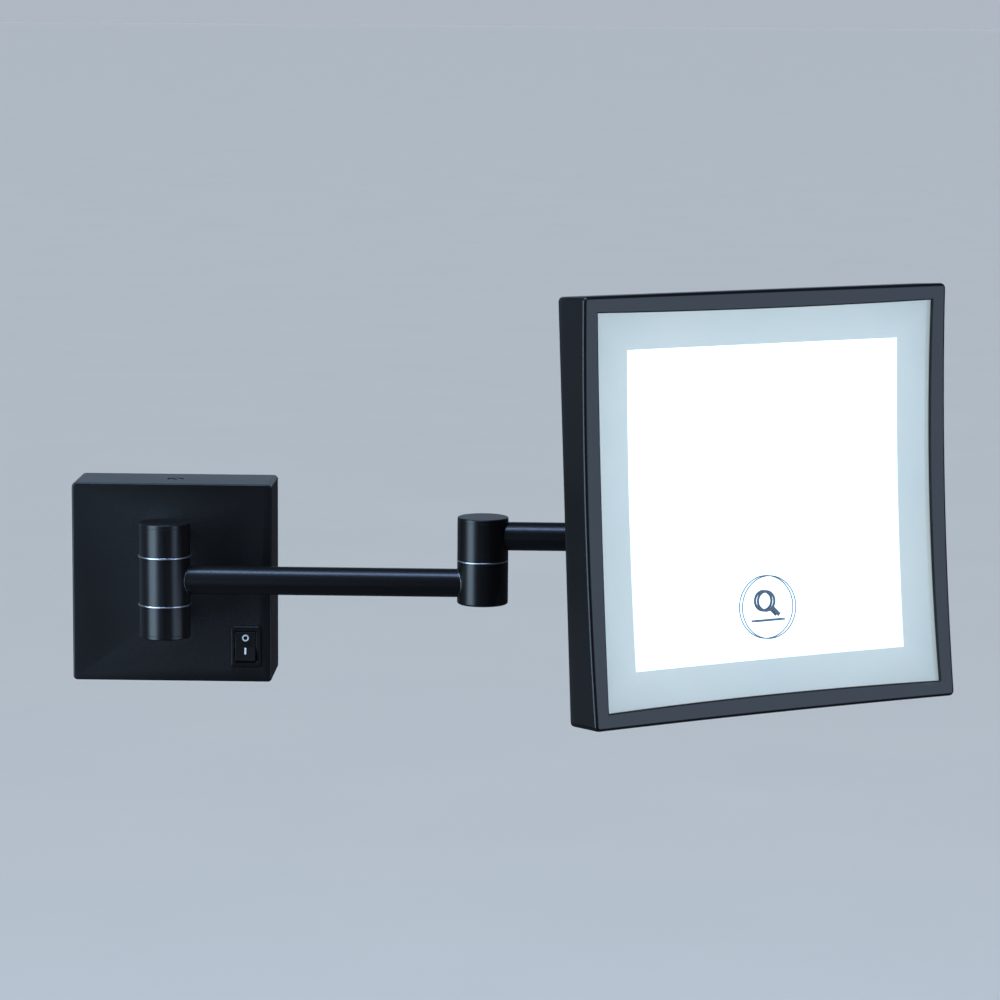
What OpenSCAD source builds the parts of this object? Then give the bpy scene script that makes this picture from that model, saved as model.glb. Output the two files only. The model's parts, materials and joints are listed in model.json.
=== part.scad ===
// Square shaving mirror with a lit band, on a folding double arm with a wall box.
// The origin is the centre of the wall box's back face, on the wall.
// +X runs to the right along the wall, +Y into the wall and +Z up. Millimetres.

/* [Wall box] */
// Width and height of the square wall box
box_w = 100; // [98:1:130]
// Depth of the wall box, from the wall to its front face
box_d = 37; // [36:1:50]
// Wall thickness of the cast cover of the wall box
box_t = 2.5; // [2:0.1:3]
// Radius of the four long edges of the wall box
box_edge_r = 2; // [1:0.5:4]
// Distance between neighbouring fixing screws, across and up
screw_pitch = 72; // [64:1:76]
// Diameter of each fixing screw hole
screw_hole_d = 5; // [4:0.5:6]
// Inner diameter of the rubber grommet that the mains cable comes through
cable_hole_d = 9; // [6:0.5:10]

/* [Rocker switch] */
// Distance of the switch to the right of the box's centre
switch_x = 37; // [34:0.5:38]
// Distance of the switch below the box's centre
switch_drop = 32; // [28:0.5:35]
// Angle that the rocker turns through from off to on
rocker_travel = 18; // [12:1:20]

/* [Arm] */
// Distance from the front of the wall box to the wall hinge's axis
axis_gap = 29; // [24:0.5:40]
// Height of the lower arm's tube above the box's centre
lower_arm_h = 6.5; // [0:0.5:12]
// Length of the lower arm, from hinge axis to hinge axis
lower_arm_l = 156.5; // [100:0.5:220]
// Length of the upper arm, from hinge axis to hinge axis
upper_arm_l = 103.5; // [80:0.5:180]
// Diameter of the two arm tubes
arm_tube_d = 14; // [12:0.5:15]
// Outer diameter of the three upright hinge barrels
barrel_d = 25; // [24.5:0.5:26]
// Height of the upright wall hinge barrel
wall_barrel_h = 57.2; // [56:0.2:64]
// Height of each half of the elbow and swivel barrels
half_barrel_h = 21.5; // [21:0.5:24]

/* [Mirror head] */
// Width and height of the square head
head_w = 200; // [190:1:240]
// Depth of the head at its corners
head_d = 24.6; // [24:0.1:30]
// Radius of curvature of the hollow front
mirror_r = 1300; // [1200:10:2000]
// Width of the black bezel at the corners of its opening
bezel_w = 7.5; // [6.5:0.5:9]
// How far the middle of each side of the opening bows inwards
bezel_bow = 1; // [0:0.1:2]
// Half width of the silvered patch in the middle of the glass
patch_half = 74.6; // [70:0.1:76]
// Thickness of the mirror glass
glass_t = 2.1; // [2:0.1:3.5]
// Turn of the head about the swivel at rest, from facing straight off the wall
head_yaw = 29.4; // [0:0.1:60]
// Lean of the head about the tilt axis at rest; negative faces up
head_tilt = -4.6; // [-20:0.1:20]
// Length of the neck, from the swivel's axis to the tilt axis
neck_l = 32; // [31:0.5:60]
// Diameter of the neck tube
neck_tube_d = 12; // [11:0.5:12.5]
// Distance from the tilt axis to the back of the head
tilt_gap = 17; // [16:0.5:24]

/* [Hidden] */
// Facets that stand for a full circle, and for the very large mirror sphere
$fn = 72;
SPHERE_FN = 240;
// Overshoot of cutting shapes, and the gap between faces that turn on each other
EPS = 0.5;
GAP = 0.05;

// Upright hinges
barrel_r = barrel_d / 2;
cavity_r = 9;
pin_r = 4;
pin_bore_r = 2.4;
bush_r = 5.5;
ring_t = 0.7;
ring_proud = 0.6;
edge_round = 1;
cap_t = 2;
cap_spigot_t = 1;
tube_start = cavity_r + 0.3;
tube_wall = 1.2;
arm_tube_r = arm_tube_d / 2;
neck_tube_r = neck_tube_d / 2;
axis_y = -(box_d + axis_gap);
// Heights of the tube axes below and above a ring plane
tube_below = 11.5;
tube_above = 12;
neck_above = 12.5;
elbow_z = lower_arm_h + tube_below;
swivel_z = elbow_z + tube_above + tube_below;
neck_z = swivel_z + neck_above;
// Wall hinge, measured from the lower arm's tube axis
hub_half = 11.6;
knuckle_start = hub_half + GAP + ring_t;
wall_web_t = 4;
post_h = 20;
post_r = 6;
spigot_r = 5;
spigot_l = 9.5;
bush_l = 5;
// Lower half of an elbow or swivel barrel
cup_floor_t = 2.5;
plug_t = 6.65;
pin_top = 12.3;
// Upper half of an elbow or swivel barrel
web_top = 7;
washer_stack_t = 2.2;
nut_t = 2.7;

// Tilt joint: a barrel lying across the head
tilt_r = 9;
tilt_hub_half = 6.9;
ear_start = tilt_hub_half + GAP + ring_t;
ear_end = 18;
ear_web_t = 4;
ear_cavity_r = 6.2;
tilt_pin_r = 3;
tilt_pin_bore_r = 1.7;
tilt_hub_cavity_r = 6;
lead_channel_x = 15.4;
flange_w = 48;
flange_h = 40;
flange_t = 3;
flange_hole_x = 18;
flange_hole_z = 14.5;
tilt_cap_t = 1.5;
screw_shank_r = 1.9;
screw_hole_r = 2.1;
screw_head_r = 3.7;
sink_r = 3.9;
tapped_r = 2;
pivot = [lower_arm_l + upper_arm_l + neck_l * sin(head_yaw),
         axis_y - neck_l * cos(head_yaw), neck_z];

// Head, measured from the tilt axis: its back is at back_y and it faces -Y
head_half = head_w / 2;
back_y = -tilt_gap;
front_y = back_y - head_d;
shell_t = 1.5;
bezel_t = 1;
gasket_t = 0.4;
gasket_lip_w = 0.45;
gasket_lip_drop = 0.2;
silver_t = 0.2;
mark_t = 0.1;
sphere_y = front_y - sqrt(mirror_r * mirror_r - 2 * head_half * head_half);
glass_front_r = mirror_r + bezel_t + gasket_t;
glass_back_r = glass_front_r + glass_t;
silver_back_r = glass_back_r + silver_t;
glass_half = head_half - shell_t - 0.7;
opening_half = head_half - bezel_w;
band_half = opening_half + 0.8;
cover_inset = shell_t + 0.2;
cover_t = 1.5;
lug_w = 14.5;
lug_t = 3;
lug_hole = head_half - shell_t - lug_w / 2;
strip_l = 150;
strip_w = 14;
strip_t = 1.4;
strip_mid = head_half - 15;
chips_per_strip = 12;
chip_pitch = 12.5;
diffuser_t = 2;
diffuser_y = back_y - cover_t - 7.5;
carrier_half = 70;
carrier_t = 2.5;
boss_r = 5;
boss_spacing = 55;
boss_l = 13;
mark_z = -50;

// Switch, about the middle of its cut-out in the front of the box
switch_at = [switch_x, -box_d, -switch_drop];
switch_w = 13;
switch_h = 19.2;
switch_body_d = 12;
switch_rim = 1.6;
switch_well_w = 10.7;
switch_well_h = 15.5;
rocker_w = 10.2;
rocker_r = 7.55;
rocker_pivot_y = -0.3;
trunnion_r = 1.2;

// Wiring
lead_r = 1.2;

BLACK = [0.05, 0.05, 0.055];
CHROME = [0.85, 0.86, 0.88];
STEEL = [0.6, 0.61, 0.63];
WHITE = [0.93, 0.94, 0.95];

// ---------- places ----------

module at_wall_hinge() translate([0, axis_y, lower_arm_h]) children();
module at_elbow() translate([lower_arm_l, axis_y, elbow_z]) children();
module at_swivel() translate([lower_arm_l + upper_arm_l, axis_y, swivel_z]) children();
module at_neck() at_swivel() rotate(head_yaw - 90) children();
module at_tilt() translate(pivot) rotate(head_yaw) children();
module in_head() at_tilt() rotate([head_tilt, 0, 0]) children();
module at_switch() translate(switch_at) children();
module both_ends() for (m = [0, 1]) mirror([0, 0, m]) children();
module both_sides() for (m = [0, 1]) mirror([m, 0, 0]) children();
module four_corners(x, z) for (sx = [-1, 1], sz = [-1, 1]) translate([sx * x, 0, sz * z]) children();

// ---------- shapes that repeat ----------

// A cylinder along +X or along -Y, starting at the origin
module rod_x(r, l) rotate([0, 90, 0]) cylinder(r = r, h = l);
module rod_y(r, l) rotate([90, 0, 0]) cylinder(r = r, h = l);

// A ring lying flat, from z0 to z1
module ring(r_out, r_in, z0, z1) {
    difference() {
        translate([0, 0, z0]) cylinder(r = r_out, h = z1 - z0);
        translate([0, 0, z0 - EPS]) cylinder(r = r_in, h = z1 - z0 + 2 * EPS);
    }
}

// A square outline with rounded corners
module rounded_outline(w, h, r) {
    square([w - 2 * r, h], center = true);
    square([w, h - 2 * r], center = true);
    for (x = [-1, 1], y = [-1, 1]) translate([x * (w / 2 - r), y * (h / 2 - r)]) circle(r);
}

// A plate standing on the XZ plane, from y_back forward (towards -Y) by t
module plate(w, h, r, y_back, t) {
    translate([0, y_back, 0]) rotate([90, 0, 0]) linear_extrude(t) rounded_outline(w, h, r);
}

// A square frame standing on the XZ plane
module frame(outer, inner, y_back, t) {
    difference() {
        plate(2 * outer, 2 * outer, 1, y_back, t);
        plate(2 * inner, 2 * inner, 1, y_back + EPS, t + 2 * EPS);
    }
}

// Half profile of a solid barrel with rounded lower and upper outer edges
module barrel_profile(r, z0, z1, round_0, round_1) {
    difference() {
        translate([0, z0]) square([r, z1 - z0]);
        if (round_0 > 0) translate([r - round_0, z0 + round_0]) difference() {
            translate([0, -round_0 - EPS]) square([round_0 + EPS, round_0 + EPS]);
            circle(round_0);
        }
        if (round_1 > 0) translate([r - round_1, z1 - round_1]) difference() {
            square([round_1 + EPS, round_1 + EPS]);
            circle(round_1);
        }
    }
}

// Cuts a tube's socket through a barrel's wall, towards +X at height z
module tube_socket(r, z) translate([cavity_r - EPS, 0, z]) rod_x(r, barrel_r - cavity_r + 2);

// A hollow tube along +X between two distances from the origin
module arm_tube(r, x0, x1) {
    difference() {
        translate([x0, 0, 0]) rod_x(r, x1 - x0);
        translate([x0 - EPS, 0, 0]) rod_x(r - tube_wall, x1 - x0 + 2 * EPS);
    }
}

// An insulated lead along a list of points. The path is smoothed: each inner point pulls a
// short parabola from one half-way point to the next, and rings of LEAD_SIDES points follow it.
LEAD_SIDES = 8;
BEND_STEPS = 3;
function unit(v) = v / norm(v);
function smooth_path(p) = let (last = len(p) - 1) [
    p[0],
    for (i = [1 : last - 1]) let (a = (p[i - 1] + p[i]) / 2, c = (p[i] + p[i + 1]) / 2)
        for (k = [(i == 1 ? 0 : 1) : BEND_STEPS]) let (t = k / BEND_STEPS)
            (1 - t) * (1 - t) * a + 2 * t * (1 - t) * p[i] + t * t * c,
    p[last]
];
function along(p, i) = unit(p[min(i + 1, len(p) - 1)] - p[max(i - 1, 0)]);
function across(v, dir) = unit(v - (v * dir) * dir);
function square_to(dir) = across(abs(dir.z) > 0.7 ? [0, 1, 0] : [0, 0, 1], dir);
module lead(points) {
    path = smooth_path(points);
    rings = len(path);
    sides = [for (i = 0, v = square_to(along(path, 0)); i < rings;
                  i = i + 1, v = i < rings ? across(v, along(path, i)) : v) v];
    skin = [for (i = [0 : rings - 1]) let (d = along(path, i), u = sides[i], w = cross(d, u))
        for (k = [0 : LEAD_SIDES - 1]) let (a = 360 * k / LEAD_SIDES)
            path[i] + lead_r * (cos(a) * u + sin(a) * w)];
    walls = [for (i = [0 : rings - 2], k = [0 : LEAD_SIDES - 1])
        let (a = i * LEAD_SIDES, n = (k + 1) % LEAD_SIDES)
            [a + k, a + LEAD_SIDES + k, a + LEAD_SIDES + n, a + n]];
    first_end = [for (k = [0 : LEAD_SIDES - 1]) k];
    far_end = [for (k = [LEAD_SIDES - 1 : -1 : 0]) (rings - 1) * LEAD_SIDES + k];
    polyhedron(points = skin, faces = concat(walls, [first_end, far_end]));
}

// The space inside a sphere about the centre of curvature of the mirror
module inside_mirror(r) translate([0, sphere_y, 0]) sphere(r = r, $fn = SPHERE_FN);

// The part of a solid that lies between two such spheres
module curved_layer(r_front, r_back) {
    intersection() {
        difference() {
            children();
            inside_mirror(r_front);
        }
        inside_mirror(r_back);
    }
}

// The bezel's opening: a square whose sides bow inwards in a shallow arc
BOW_STEPS = 12;
function bowed_side(half, turn) = [
    for (i = [0 : BOW_STEPS - 1])
        let (s = 2 * i / BOW_STEPS - 1, x = s * half, y = -half + bezel_bow * (1 - s * s))
            [x * cos(turn) - y * sin(turn), x * sin(turn) + y * cos(turn)]
];
module opening_outline(half) {
    polygon([for (turn = [0 : 90 : 270]) for (p = bowed_side(half, turn)) p]);
}
module opening_prism(half) {
    translate([0, back_y - 5, 0]) rotate([90, 0, 0]) linear_extrude(head_d) opening_outline(half);
}

// A slab that reaches past the whole depth of the head's front
module head_block(half, r) plate(2 * half, 2 * half, r, back_y - 2, head_d);

// ---------- wall box ----------

bracket_half = 44;
flange_half_w = 24;
flange_depth = 26;
bracket_t = 2;
grommet_r = 7;
set_screw_y = -19;
set_screw_r = 2;
set_screw_head_r = 3.6;
counterbore_r = 4.1;
counterbore_t = 1.5;

module wall_bracket() {
    color(STEEL) difference() {
        union() {
            plate(2 * bracket_half, 2 * bracket_half, 3, 0, bracket_t);
            both_ends() translate([-flange_half_w, -flange_depth, bracket_half - bracket_t])
                cube([2 * flange_half_w, flange_depth, bracket_t]);
        }
        four_corners(screw_pitch / 2, screw_pitch / 2)
            translate([0, EPS, 0]) rod_y(screw_hole_d / 2, bracket_t + 2 * EPS);
        translate([0, EPS, 0]) rod_y(grommet_r, bracket_t + 2 * EPS);
        translate([0, set_screw_y, -box_w / 2]) cylinder(r = set_screw_r, h = box_w);
    }
}

module wall_cover() {
    color(BLACK) difference() {
        plate(box_w, box_w, box_edge_r, 0, box_d);
        plate(box_w - 2 * box_t, box_w - 2 * box_t, 1, EPS, box_d - box_t + EPS);
        for (z = [-post_h, post_h]) translate([0, 0, lower_arm_h + z])
            rod_y(spigot_r, box_d + 1);
        at_switch() translate([-switch_w / 2, -1, -switch_h / 2])
            cube([switch_w, box_t + 2, switch_h]);
        both_ends() translate([0, set_screw_y, box_w / 2 - box_t - EPS]) {
            cylinder(r = set_screw_r + 0.2, h = 2 * box_t);
            translate([0, 0, EPS + box_t - counterbore_t])
                cylinder(r = counterbore_r, h = 2 * box_t);
        }
    }
}

module cover_set_screws() {
    top = box_w / 2 - 0.3;
    seat = box_w / 2 - counterbore_t + 0.02;
    tip = bracket_half - 3.5;
    color(STEEL) both_ends() translate([0, set_screw_y, 0]) difference() {
        union() {
            translate([0, 0, tip]) cylinder(r = set_screw_r, h = seat - tip + 0.2);
            translate([0, 0, seat]) cylinder(r = set_screw_head_r, h = top - seat);
        }
        translate([0, 0, top - 1]) cylinder(r = 1.5, h = 3, $fn = 6);
    }
}

// Knuckle and stand-off in one casting, above the lower arm's hub
module wall_post() {
    top = wall_barrel_h / 2 - cap_t;
    difference() {
        union() {
            translate([0, 0, knuckle_start]) cylinder(r = barrel_r, h = top - knuckle_start);
            translate([0, 0, post_h]) rotate([180, 0, 0]) rod_y(post_r, axis_gap);
            translate([0, 0, post_h]) rotate([180, 0, 0]) rod_y(spigot_r, axis_gap + spigot_l);
        }
        cylinder(r = pin_r, h = wall_barrel_h);
        translate([0, 0, knuckle_start + wall_web_t]) cylinder(r = cavity_r, h = wall_barrel_h);
    }
}

module upper_wall_post() {
    color(BLACK) at_wall_hinge() difference() {
        wall_post();
        translate([0, 0, post_h]) rotate([180, 0, 0]) rod_y(3, axis_gap + spigot_l + 1);
    }
}

module lower_wall_post() color(BLACK) at_wall_hinge() mirror([0, 0, 1]) wall_post();

module post_nuts() {
    color(STEEL) for (z = [-post_h, post_h])
        translate([0, -box_d + box_t, lower_arm_h + z]) rotate([-90, 0, 0]) difference() {
            union() {
                cylinder(r = 9, h = 1.2);
                cylinder(r = 8, h = 6.2, $fn = 6);
            }
            translate([0, 0, -EPS]) cylinder(r = spigot_r, h = 8);
        }
}

module wall_pivots() {
    head_z = knuckle_start + wall_web_t;
    tip_z = hub_half - bush_l - 1;
    color(CHROME) at_wall_hinge() both_ends() difference() {
        union() {
            translate([0, 0, tip_z]) cylinder(r = pin_r, h = head_z - tip_z);
            translate([0, 0, head_z]) cylinder(r = 6.5, h = 2.5);
        }
        cylinder(r = pin_bore_r, h = head_z + 4);
    }
}

module wall_hinge_rings() {
    color(CHROME) at_wall_hinge() both_ends()
        ring(barrel_r + ring_proud, pin_r + 0.3, hub_half + GAP, knuckle_start);
}

// A closing disc from z up, with a spigot that drops into the barrel
module barrel_cap(z) {
    rotate_extrude() barrel_profile(barrel_r, z, z + cap_t, 0, 0.6);
    translate([0, 0, z - cap_spigot_t]) cylinder(r = cavity_r - 0.05, h = cap_spigot_t);
}

module wall_barrel_caps() {
    color(BLACK) at_wall_hinge() both_ends() barrel_cap(wall_barrel_h / 2 - cap_t);
}

module cable_grommet() {
    color(BLACK) difference() {
        union() {
            rod_y(grommet_r, bracket_t + 1);
            translate([0, -bracket_t, 0]) rod_y(grommet_r + 2, 2);
        }
        translate([0, EPS, 0]) rod_y(cable_hole_d / 2, 6);
    }
}

block_at = [0, -2, 20];
module terminal_block() {
    color(WHITE) translate(block_at) difference() {
        translate([-12, -14, -7]) cube([24, 14, 14]);
        for (x = [-8, 0, 8]) translate([x, 0, 0]) {
            translate([0, -6, -8]) cylinder(r = 1.6, h = 16);
            translate([0, -9, 0]) rod_y(1.8, 6);
        }
    }
}

// The LED driver: a foot with a moulded case on it
driver_at = [-3, -2, -29];
driver_case = [46, 20];
driver_end = driver_at.x + driver_case.x / 2;
driver_top = driver_at.z + driver_case.y / 2;
module led_driver() {
    color(WHITE) translate(driver_at) {
        plate(driver_case.x + 4, driver_case.y + 2, 2, 0, 3);
        plate(driver_case.x, driver_case.y, 3, -2, 18);
    }
}

module switch_housing() {
    color(BLACK) at_switch() difference() {
        union() {
            plate(15, 21, 1.5, 0, switch_rim);
            plate(switch_w, switch_h, 0.5, switch_body_d, switch_body_d);
        }
        plate(switch_well_w, switch_well_h, 0.3, switch_body_d - 2.5, switch_body_d + 2);
        translate([-switch_w, rocker_pivot_y, 0]) rod_x(trunnion_r + GAP, 2 * switch_w);
    }
}

module switch_terminals() {
    color(CHROME) at_switch() for (z = [-5, 5])
        translate([-2.4, switch_body_d, z - 0.4]) cube([4.8, 7, 0.8]);
}

terminal_y = -box_d + switch_body_d + 7;
module wall_box_leads() {
    blade_z = -switch_drop;
    color(WHITE) {
        // live feed from the terminal block down to the switch
        lead([[12.1, -9, 18], [20, -9, 18], [35, -10, 6], [switch_x, terminal_y + 1.5, -16],
              [switch_x, terminal_y + 1.3, blade_z + 5.5]]);
        // switched live across to the driver
        lead([[switch_x, terminal_y + 1.3, blade_z - 5.5], [switch_x - 4, -14, -40],
              [30, -12, -34], [26, -12, -30], [driver_end + 0.1, -12, -30]]);
        // neutral from the terminal block down to the driver
        lead([[-12.1, -9, 18], [-18, -9, 18], [-21, -9, 8], [-18, -11, -6],
              [-18, -11, driver_top + 0.1]]);
        // low-voltage output up through the upper post and down its hollow pivot
        lead([[-9, -14, driver_top + 0.1], [-9, -14, -12], [-12, -22, 12], [-4, -24.5, 24],
              [0, -27, lower_arm_h + post_h], [0, axis_y + 7, lower_arm_h + post_h],
              [0, axis_y + 2, lower_arm_h + post_h + 1.5], [0, axis_y, lower_arm_h + post_h],
              [0, axis_y, lower_arm_h + knuckle_start]]);
    }
}

// ---------- rocker ----------

rocker_half = 7.1;
v_end = -2.6;
v_mid = -1.6;
rocker_rest = -rocker_travel / 2;

module at_rocker() {
    at_switch() translate([0, rocker_pivot_y, 0]) rotate([rocker_rest, 0, 0]) children();
}

module switch_rocker() {
    color(BLACK) at_rocker() {
        rotate([90, 0, 90]) translate([0, 0, -rocker_w / 2]) linear_extrude(rocker_w)
            intersection() {
                circle(rocker_r);
                polygon([[v_end, -rocker_r], [v_end, -rocker_half], [v_mid, 0],
                         [v_end, rocker_half], [v_end, rocker_r], [4, rocker_r], [4, -rocker_r]]);
            }
        translate([-rocker_w / 2 - 0.8, 0, 0]) rod_x(trunnion_r, rocker_w + 1.6);
    }
}

// The off ring and the on bar, standing 0.15 proud of the two slopes of the rocker
module rocker_marks() {
    slope = atan((v_mid - v_end) / rocker_half);
    rise = 0.15;
    ring_z = 4.4;
    ring_r = 1.7;
    bar_l = 3.3;
    bar_w = 0.9;
    color(WHITE) at_rocker() translate([0, v_mid, 0]) {
        rotate([slope, 0, 0]) translate([0, 0, ring_z]) difference() {
            rod_y(ring_r, rise);
            translate([0, EPS, 0]) rod_y(ring_r - 0.7, 2 * EPS + rise);
        }
        rotate([-slope, 0, 0]) translate([-bar_w / 2, -rise, -bar_l - 0.6])
            cube([bar_w, rise, bar_l]);
    }
}

// ---------- lower arm ----------

module lower_arm_hub() {
    color(BLACK) at_wall_hinge() difference() {
        ring(barrel_r, cavity_r, -hub_half, hub_half);
        tube_socket(arm_tube_r, 0);
    }
}

module lower_arm_bushes() {
    color(WHITE) at_wall_hinge() both_ends()
        ring(cavity_r, pin_r + GAP, hub_half - bush_l, hub_half);
}

module lower_arm_tube() {
    color(BLACK) at_wall_hinge()
        arm_tube(arm_tube_r, tube_start, lower_arm_l - tube_start);
}

// Lower half of a two-part barrel: a cup with a socket for the tube that carries it.
// It is drawn about its ring plane, with the tube coming from -X.
module lower_knuckle() {
    difference() {
        rotate_extrude() difference() {
            barrel_profile(barrel_r, -half_barrel_h, -ring_t / 2, edge_round, 0);
            translate([0, -half_barrel_h + cup_floor_t]) square([cavity_r, half_barrel_h]);
        }
        rotate(180) tube_socket(arm_tube_r, -tube_below);
    }
}

// Hollow hinge pin: a plug screwed into the cup's mouth, and a shank through the upper half
module hinge_pin() {
    difference() {
        union() {
            translate([0, 0, -ring_t / 2 - plug_t]) cylinder(r = cavity_r, h = plug_t);
            translate([0, 0, -ring_t / 2]) cylinder(r = pin_r, h = pin_top + ring_t / 2);
        }
        translate([0, 0, -half_barrel_h]) cylinder(r = pin_bore_r, h = 2 * half_barrel_h);
    }
}

module hinge_nut() {
    z = web_top + washer_stack_t + GAP;
    difference() {
        translate([0, 0, z]) cylinder(r = 7.5, h = nut_t, $fn = 6);
        translate([0, 0, z - EPS]) cylinder(r = pin_r, h = nut_t + 2 * EPS);
    }
}

module hinge_ring() ring(barrel_r, pin_r + 0.3, -ring_t / 2, ring_t / 2);

module elbow_lower_knuckle() color(BLACK) at_elbow() lower_knuckle();
module elbow_pin() color(CHROME) at_elbow() hinge_pin();
module elbow_nut() color(STEEL) at_elbow() hinge_nut();
module elbow_ring() color(CHROME) at_elbow() hinge_ring();

// The end of a lead that rises through the hollow pin at x, from a tube below the ring plane
function rise_into_pin(x) = [
    [x - 11, 0, -tube_below], [x - 4, 0, -tube_below - 0.6], [x, 0, -9], [x, 0, -GAP]
];
// The start of a lead that leaves the top of the pin for a tube at height z above the plane
function fall_from_pin(z) = [
    [0, 0, GAP], [0, 0, 14], [2, 0, 15.8], [6.5, 0, 15.8], [11, 0, z + 1.5], [18, 0, z]
];

module lower_arm_lead() {
    color(WHITE) {
        at_wall_hinge() lead([[0, 0, knuckle_start - GAP], [0, 0, 3], [3, 0, 0.4], [12, 0, 0],
                              [20, 0, 0]]);
        translate([0, axis_y, elbow_z])
            lead(concat([[20, 0, -tube_below]], rise_into_pin(lower_arm_l)));
    }
}

// ---------- upper arm ----------

// Upper half of a two-part barrel, with the tube that it carries leaving along +X
module upper_knuckle(tube_r, tube_z) {
    difference() {
        rotate_extrude() difference() {
            translate([0, ring_t / 2 + GAP])
                square([barrel_r, half_barrel_h - cap_t - ring_t / 2 - GAP]);
            square([bush_r, half_barrel_h]);
            translate([0, web_top]) square([cavity_r, half_barrel_h]);
        }
        tube_socket(tube_r, tube_z);
    }
}

module hinge_bush() ring(bush_r, pin_r + GAP, ring_t / 2 + GAP, web_top);

// Two dished washers, drawn as a stepped pair
module hinge_spring_washers() {
    half_t = washer_stack_t / 2;
    ring(8, pin_r + 0.4, web_top, web_top + half_t);
    ring(7, pin_r + 0.4, web_top + half_t, web_top + washer_stack_t);
}

module elbow_upper_knuckle() color(BLACK) at_elbow() upper_knuckle(arm_tube_r, tube_above);
module elbow_bush() color(WHITE) at_elbow() hinge_bush();
module elbow_spring_washers() color(STEEL) at_elbow() hinge_spring_washers();
module elbow_cap() color(BLACK) at_elbow() barrel_cap(half_barrel_h - cap_t);

module upper_arm_tube() {
    color(BLACK) at_elbow() translate([0, 0, tube_above])
        arm_tube(arm_tube_r, tube_start, upper_arm_l - tube_start);
}

module swivel_lower_knuckle() color(BLACK) at_swivel() lower_knuckle();
module swivel_pin() color(CHROME) at_swivel() hinge_pin();
module swivel_nut() color(STEEL) at_swivel() hinge_nut();
module swivel_ring() color(CHROME) at_swivel() hinge_ring();

module upper_arm_lead() {
    color(WHITE) {
        at_elbow() lead(fall_from_pin(tube_above));
        translate([lower_arm_l, axis_y, swivel_z])
            lead(concat([[18, 0, -tube_below]], rise_into_pin(upper_arm_l)));
    }
}

// ---------- head carrier ----------

module swivel_upper_knuckle() color(BLACK) at_neck() upper_knuckle(neck_tube_r, neck_above);
module swivel_bush() color(WHITE) at_neck() hinge_bush();
module swivel_spring_washers() color(STEEL) at_neck() hinge_spring_washers();
module swivel_cap() color(BLACK) at_neck() barrel_cap(half_barrel_h - cap_t);

module neck_tube() {
    color(BLACK) at_neck() translate([0, 0, neck_above])
        arm_tube(neck_tube_r, tube_start, neck_l - tilt_hub_cavity_r - 0.3);
}

module tilt_hub() {
    color(BLACK) at_tilt() difference() {
        translate([-tilt_hub_half, 0, 0]) rod_x(tilt_r, 2 * tilt_hub_half);
        translate([-tilt_hub_half - EPS, 0, 0])
            rod_x(tilt_pin_r + GAP, 2 * (tilt_hub_half + EPS));
        translate([-3, 0, 0]) rod_x(tilt_hub_cavity_r, 6);
        translate([0, 1, 0]) rotate([180, 0, 0]) rod_y(neck_tube_r, tilt_r + 1);
    }
}

module neck_lead() {
    color(WHITE) {
        at_neck() lead(concat(fall_from_pin(neck_above),
                              [[neck_l - 3, 0, neck_above], [neck_l, 0, neck_above]]));
        at_tilt() lead([[0, 0, 0], [4, 0, 0], [tilt_hub_half + 0.3, 0, 0]]);
    }
}

// ---------- tilt joint and back of the head ----------

module tilt_bracket() {
    color(BLACK) in_head() difference() {
        union() {
            both_sides() {
                translate([ear_start, 0, 0]) rod_x(tilt_r, ear_end - ear_start);
                translate([ear_start, back_y + flange_t - EPS, -7])
                    cube([ear_end - ear_start, tilt_gap - flange_t + EPS, 14]);
            }
            plate(flange_w, flange_h, 4, back_y + flange_t, flange_t);
        }
        both_sides() {
            translate([ear_start - EPS, 0, 0]) rod_x(tilt_pin_r, ear_end);
            translate([ear_start + ear_web_t, 0, 0]) rod_x(ear_cavity_r, ear_end);
        }
        translate([lead_channel_x, 0, 0]) rod_y(tilt_pin_bore_r, tilt_gap + 1);
        four_corners(flange_hole_x, flange_hole_z) {
            rod_y(screw_hole_r, tilt_gap + 1);
            translate([0, back_y + flange_t, 0]) rotate([90, 0, 0])
                cylinder(r1 = sink_r, r2 = screw_hole_r, h = 1.8);
        }
    }
}

module tilt_pivots() {
    head_x = ear_start + ear_web_t;
    color(CHROME) in_head() both_sides() difference() {
        union() {
            translate([2.8, 0, 0]) rod_x(tilt_pin_r, head_x - 2.8);
            translate([head_x, 0, 0]) rod_x(5, 1.8);
        }
        rod_x(tilt_pin_bore_r, ear_end);
    }
}

module tilt_rings() {
    color(CHROME) in_head() both_sides() rotate([0, 90, 0])
        ring(tilt_r + 0.2, tilt_pin_r + 0.3, tilt_hub_half + GAP, ear_start);
}

module tilt_caps() {
    color(BLACK) in_head() both_sides() rotate([0, 90, 0]) {
        rotate_extrude() barrel_profile(tilt_r, ear_end, ear_end + tilt_cap_t, 0, 0.5);
        translate([0, 0, ear_end - 0.8]) cylinder(r = ear_cavity_r - 0.05, h = 0.8);
    }
}

// A countersunk screw with a hexagon socket, driven along -Y from the origin
module countersunk_screw(l) {
    rotate([90, 0, 0]) difference() {
        union() {
            cylinder(r1 = screw_head_r, r2 = screw_shank_r, h = 1.4);
            cylinder(r = screw_shank_r, h = l);
        }
        translate([0, 0, -1]) cylinder(r = 1.4, h = 2.2, $fn = 6);
    }
}

module bracket_screws() {
    color(STEEL) in_head() four_corners(flange_hole_x, flange_hole_z)
        translate([0, back_y + flange_t - 0.1, 0]) countersunk_screw(10);
}

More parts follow.
